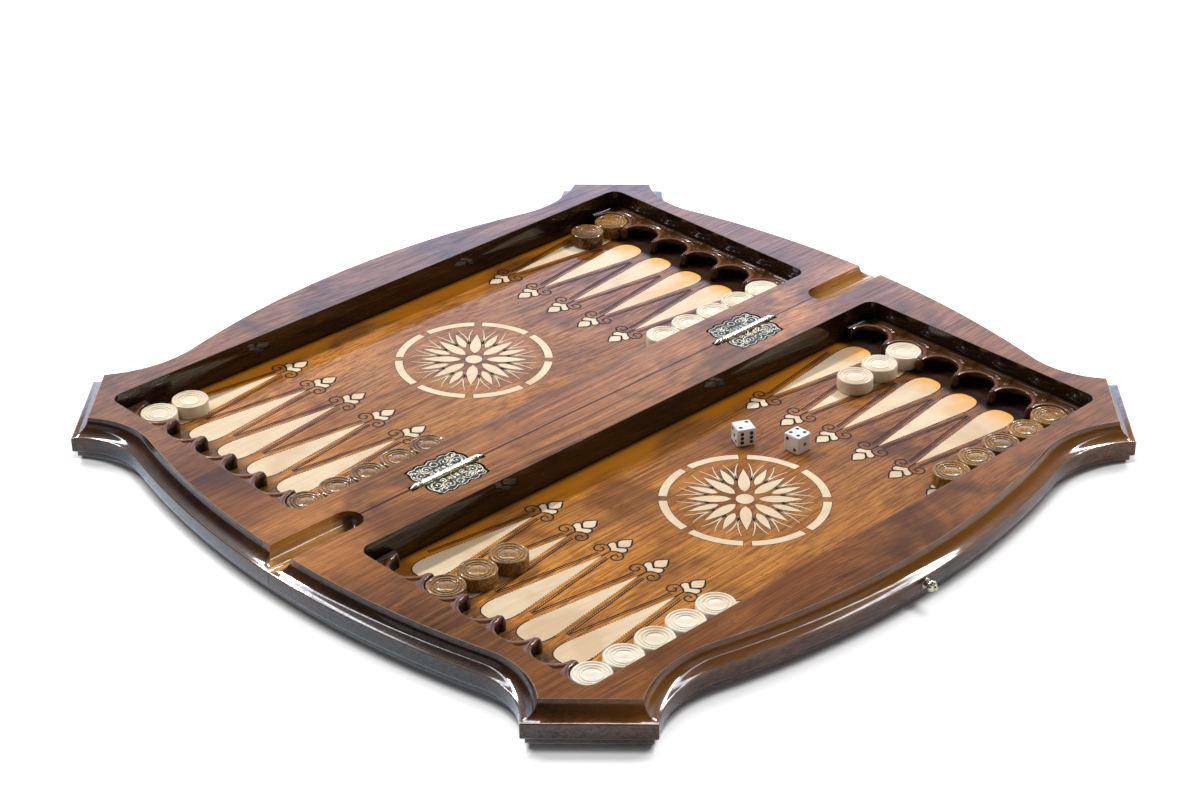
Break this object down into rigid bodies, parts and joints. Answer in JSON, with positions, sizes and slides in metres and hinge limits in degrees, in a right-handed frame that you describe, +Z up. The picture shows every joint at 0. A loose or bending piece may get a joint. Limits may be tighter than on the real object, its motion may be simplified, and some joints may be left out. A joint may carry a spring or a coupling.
{
  "type": "folding game board",
  "caption": "Carved wooden folding board for backgammon and chess, open flat with its checkers and dice.",
  "frame": {"origin": "middle of the fold, on the table under the open board", "axes": "+X along the fold, +Y towards the leaf that carries the hook, +Z up"},
  "size_m": [0.609, 0.6213, 0.0327],
  "materials": {
    "walnut": "dark stained, glossy lacquer",
    "floor_wood": "stained, glossy lacquer",
    "rack_wood": "carved, nearly black, glossy lacquer",
    "light_veneer": "light veneer under lacquer",
    "dark_veneer": "dark veneer under lacquer",
    "cream_wood": "pale, glossy lacquer",
    "brown_wood": "brown, glossy lacquer",
    "brass": "aged, worn bright on the edges",
    "ivory": "polished white with black pips"
  },
  "bodies": {
    "near_leaf": {"near_frame": "walnut", "near_floor_panel": "floor_wood", "near_rack_left": "rack_wood", "near_rack_right": "rack_wood", "near_point_inlays": "light_veneer", "near_medallion": "light_veneer", "near_dark_squares": "dark_veneer", "near_light_squares": "light_veneer", "near_hinge_plate_left": "brass", "near_hinge_plate_right": "brass", "near_hinge_screws": "brass", "hinge_pin_left": "brass", "hinge_pin_right": "brass", "clasp_knob": "brass"},
    "far_leaf": {"far_frame": "walnut", "far_floor_panel": "floor_wood", "far_rack_left": "rack_wood", "far_rack_right": "rack_wood", "far_point_inlays": "light_veneer", "far_medallion": "light_veneer", "far_dark_squares": "dark_veneer", "far_light_squares": "light_veneer", "far_hinge_plate_left": "brass", "far_hinge_plate_right": "brass", "far_hinge_screws": "brass", "clasp_pivot": "brass"},
    "clasp_hook": {"clasp_hook": "brass"},
    "checker_cream_1": {"checker_cream_1": "cream_wood"},
    "checker_cream_2": {"checker_cream_2": "cream_wood"},
    "checker_brown_3": {"checker_brown_3": "brown_wood"},
    "checker_brown_4": {"checker_brown_4": "brown_wood"},
    "checker_brown_5": {"checker_brown_5": "brown_wood"},
    "checker_brown_6": {"checker_brown_6": "brown_wood"},
    "checker_brown_7": {"checker_brown_7": "brown_wood"},
    "checker_brown_8": {"checker_brown_8": "brown_wood"},
    "checker_brown_9": {"checker_brown_9": "brown_wood"},
    "checker_cream_10": {"checker_cream_10": "cream_wood"},
    "checker_cream_11": {"checker_cream_11": "cream_wood"},
    "checker_cream_12": {"checker_cream_12": "cream_wood"},
    "checker_cream_13": {"checker_cream_13": "cream_wood"},
    "checker_cream_14": {"checker_cream_14": "cream_wood"},
    "checker_brown_15": {"checker_brown_15": "brown_wood"},
    "checker_brown_16": {"checker_brown_16": "brown_wood"},
    "checker_brown_17": {"checker_brown_17": "brown_wood"},
    "checker_cream_18": {"checker_cream_18": "cream_wood"},
    "checker_cream_19": {"checker_cream_19": "cream_wood"},
    "checker_cream_20": {"checker_cream_20": "cream_wood"},
    "checker_cream_21": {"checker_cream_21": "cream_wood"},
    "checker_cream_22": {"checker_cream_22": "cream_wood"},
    "checker_cream_23": {"checker_cream_23": "cream_wood"},
    "checker_cream_24": {"checker_cream_24": "cream_wood"},
    "checker_cream_25": {"checker_cream_25": "cream_wood"},
    "checker_brown_26": {"checker_brown_26": "brown_wood"},
    "checker_brown_27": {"checker_brown_27": "brown_wood"},
    "checker_brown_28": {"checker_brown_28": "brown_wood"},
    "checker_brown_29": {"checker_brown_29": "brown_wood"},
    "checker_brown_30": {"checker_brown_30": "brown_wood"},
    "die_left": {"die_left": "ivory"},
    "die_right": {"die_right": "ivory"}
  },
  "joints": [
    {"name": "leaf_fold", "type": "hinge", "parent": "near_leaf", "child": "far_leaf", "pos_m": [0, 0, 0.03015], "axis": [-1, 0, 0], "range_deg": [-180, 0]},
    {"name": "hook_swing", "type": "hinge", "parent": "far_leaf", "child": "clasp_hook", "pos_m": [0, 0.3048, 0.0135], "axis": [0, -1, 0], "range_deg": [-8, 90]},
    {"name": "lift_checker_cream_1", "type": "slide", "parent": "far_leaf", "child": "checker_cream_1", "axis": [0, 0, 1], "range_m": [0, 0.04]},
    {"name": "lift_checker_cream_2", "type": "slide", "parent": "far_leaf", "child": "checker_cream_2", "axis": [0, 0, 1], "range_m": [0, 0.04]},
    {"name": "lift_checker_brown_3", "type": "slide", "parent": "far_leaf", "child": "checker_brown_3", "axis": [0, 0, 1], "range_m": [0, 0.04]},
    {"name": "lift_checker_brown_4", "type": "slide", "parent": "far_leaf", "child": "checker_brown_4", "axis": [0, 0, 1], "range_m": [0, 0.04]},
    {"name": "lift_checker_brown_5", "type": "slide", "parent": "far_leaf", "child": "checker_brown_5", "axis": [0, 0, 1], "range_m": [0, 0.04]},
    {"name": "lift_checker_brown_6", "type": "slide", "parent": "far_leaf", "child": "checker_brown_6", "axis": [0, 0, 1], "range_m": [0, 0.04]},
    {"name": "lift_checker_brown_7", "type": "slide", "parent": "far_leaf", "child": "checker_brown_7", "axis": [0, 0, 1], "range_m": [0, 0.04]},
    {"name": "lift_checker_brown_8", "type": "slide", "parent": "far_leaf", "child": "checker_brown_8", "axis": [0, 0, 1], "range_m": [0, 0.04]},
    {"name": "lift_checker_brown_9", "type": "slide", "parent": "far_leaf", "child": "checker_brown_9", "axis": [0, 0, 1], "range_m": [0, 0.04]},
    {"name": "lift_checker_cream_10", "type": "slide", "parent": "far_leaf", "child": "checker_cream_10", "axis": [0, 0, 1], "range_m": [0, 0.04]},
    {"name": "lift_checker_cream_11", "type": "slide", "parent": "far_leaf", "child": "checker_cream_11", "axis": [0, 0, 1], "range_m": [0, 0.04]},
    {"name": "lift_checker_cream_12", "type": "slide", "parent": "far_leaf", "child": "checker_cream_12", "axis": [0, 0, 1], "range_m": [0, 0.04]},
    {"name": "lift_checker_cream_13", "type": "slide", "parent": "far_leaf", "child": "checker_cream_13", "axis": [0, 0, 1], "range_m": [0, 0.04]},
    {"name": "lift_checker_cream_14", "type": "slide", "parent": "far_leaf", "child": "checker_cream_14", "axis": [0, 0, 1], "range_m": [0, 0.04]},
    {"name": "lift_checker_brown_15", "type": "slide", "parent": "near_leaf", "child": "checker_brown_15", "axis": [0, 0, 1], "range_m": [0, 0.04]},
    {"name": "lift_checker_brown_16", "type": "slide", "parent": "near_leaf", "child": "checker_brown_16", "axis": [0, 0, 1], "range_m": [0, 0.04]},
    {"name": "lift_checker_brown_17", "type": "slide", "parent": "near_leaf", "child": "checker_brown_17", "axis": [0, 0, 1], "range_m": [0, 0.04]},
    {"name": "lift_checker_cream_18", "type": "slide", "parent": "near_leaf", "child": "checker_cream_18", "axis": [0, 0, 1], "range_m": [0, 0.04]},
    {"name": "lift_checker_cream_19", "type": "slide", "parent": "near_leaf", "child": "checker_cream_19", "axis": [0, 0, 1], "range_m": [0, 0.04]},
    {"name": "lift_checker_cream_20", "type": "slide", "parent": "near_leaf", "child": "checker_cream_20", "axis": [0, 0, 1], "range_m": [0, 0.04]},
    {"name": "lift_checker_cream_21", "type": "slide", "parent": "near_leaf", "child": "checker_cream_21", "axis": [0, 0, 1], "range_m": [0, 0.04]},
    {"name": "lift_checker_cream_22", "type": "slide", "parent": "near_leaf", "child": "checker_cream_22", "axis": [0, 0, 1], "range_m": [0, 0.04]},
    {"name": "lift_checker_cream_23", "type": "slide", "parent": "near_leaf", "child": "checker_cream_23", "axis": [0, 0, 1], "range_m": [0, 0.04]},
    {"name": "lift_checker_cream_24", "type": "slide", "parent": "near_leaf", "child": "checker_cream_24", "axis": [0, 0, 1], "range_m": [0, 0.04]},
    {"name": "lift_checker_cream_25", "type": "slide", "parent": "near_leaf", "child": "checker_cream_25", "axis": [0, 0, 1], "range_m": [0, 0.04]},
    {"name": "lift_checker_brown_26", "type": "slide", "parent": "near_leaf", "child": "checker_brown_26", "axis": [0, 0, 1], "range_m": [0, 0.04]},
    {"name": "lift_checker_brown_27", "type": "slide", "parent": "near_leaf", "child": "checker_brown_27", "axis": [0, 0, 1], "range_m": [0, 0.04]},
    {"name": "lift_checker_brown_28", "type": "slide", "parent": "near_leaf", "child": "checker_brown_28", "axis": [0, 0, 1], "range_m": [0, 0.04]},
    {"name": "lift_checker_brown_29", "type": "slide", "parent": "near_leaf", "child": "checker_brown_29", "axis": [0, 0, 1], "range_m": [0, 0.04]},
    {"name": "lift_checker_brown_30", "type": "slide", "parent": "near_leaf", "child": "checker_brown_30", "axis": [0, 0, 1], "range_m": [0, 0.04]},
    {"name": "lift_die_left", "type": "slide", "parent": "near_leaf", "child": "die_left", "axis": [0, 0, 1], "range_m": [0, 0.04]},
    {"name": "lift_die_right", "type": "slide", "parent": "near_leaf", "child": "die_right", "axis": [0, 0, 1], "range_m": [0, 0.04]}
  ]
}
